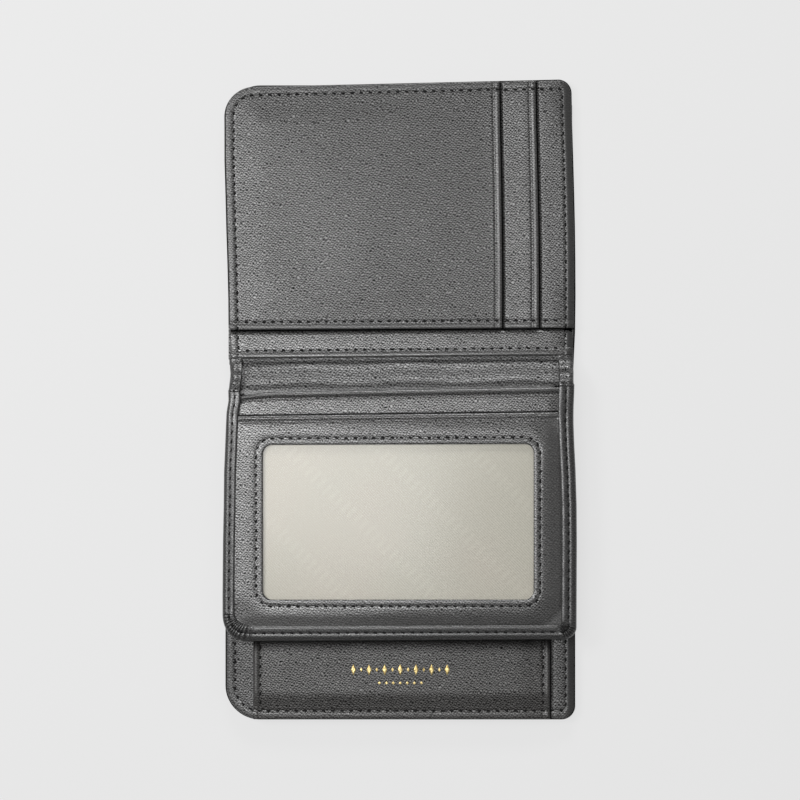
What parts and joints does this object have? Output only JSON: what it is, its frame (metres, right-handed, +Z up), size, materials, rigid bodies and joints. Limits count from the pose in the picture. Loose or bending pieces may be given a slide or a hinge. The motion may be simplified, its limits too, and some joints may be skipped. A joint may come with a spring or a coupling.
{
  "type": "bifold wallet",
  "caption": "Compact leather bifold wallet lying open, with a turning centre page that holds a card window, card slots, a patch pocket and a bank-note compartment.",
  "frame": {"origin": "centre of the open wallet's outline, on the surface it lies on", "axes": "+Y across the fold towards the upper half, +X along the fold to the open side of the bank-note compartment, +Z up"},
  "size_m": [0.1004, 0.1836, 0.0097],
  "materials": {
    "cover_leather": "fine pebble grain, satin",
    "panel_leather": "fine pebble grain, satin",
    "board": "matte",
    "lining_cloth": "fine twill",
    "window_cloth": "fine diagonal twill, semi-gloss",
    "window_film": "clear film",
    "thread": "waxed",
    "foil": "hot-stamped foil"
  },
  "bodies": {
    "lower": {"lower_cover": "cover_leather", "lower_board": "board", "lower_cover_lining": "lining_cloth", "lower_turned_hem": "panel_leather", "lower_divider_lining": "lining_cloth", "lower_inner_panel": "panel_leather", "pocket_hems": "panel_leather", "pocket_lining": "lining_cloth", "pocket_front": "panel_leather", "pocket_thread": "thread", "foil_ornament": "foil", "lower_perimeter_thread": "thread", "cover_spine": "cover_leather", "spine_cover_lining": "lining_cloth", "spine_inner_lining": "lining_cloth", "page_hinge_strip": "panel_leather"},
    "upper": {"upper_cover": "cover_leather", "upper_board": "board", "upper_cover_lining": "lining_cloth", "upper_turned_hem": "panel_leather", "page_root": "panel_leather", "upper_divider_lining": "lining_cloth", "upper_backing_panel": "panel_leather", "card_slot_panel_back": "panel_leather", "card_slot_panel_middle": "panel_leather", "card_slot_panel_front": "panel_leather", "card_slot_thread": "thread", "fold_edge_thread": "thread", "upper_perimeter_thread": "thread"},
    "page": {"page_back_panel": "panel_leather", "page_backing_panel": "panel_leather", "page_slot_panel": "panel_leather", "window_lining": "window_cloth", "window_film": "window_film", "window_panel": "panel_leather", "page_binding": "panel_leather", "page_binding_thread": "thread", "window_thread": "thread"}
  },
  "joints": [
    {"name": "cover_fold", "type": "hinge", "parent": "lower", "child": "upper", "pos_m": [0, 0, 0.0074], "axis": [1, 0, 0], "range_deg": [0, 179], "deforming": ["cover_spine", "spine_cover_lining", "spine_inner_lining", "page_hinge_strip"]},
    {"name": "page_turn", "type": "hinge", "parent": "lower", "child": "page", "pos_m": [0, 0.0042, 0.0074], "axis": [-1, 0, 0], "range_deg": [0, 179]}
  ]
}
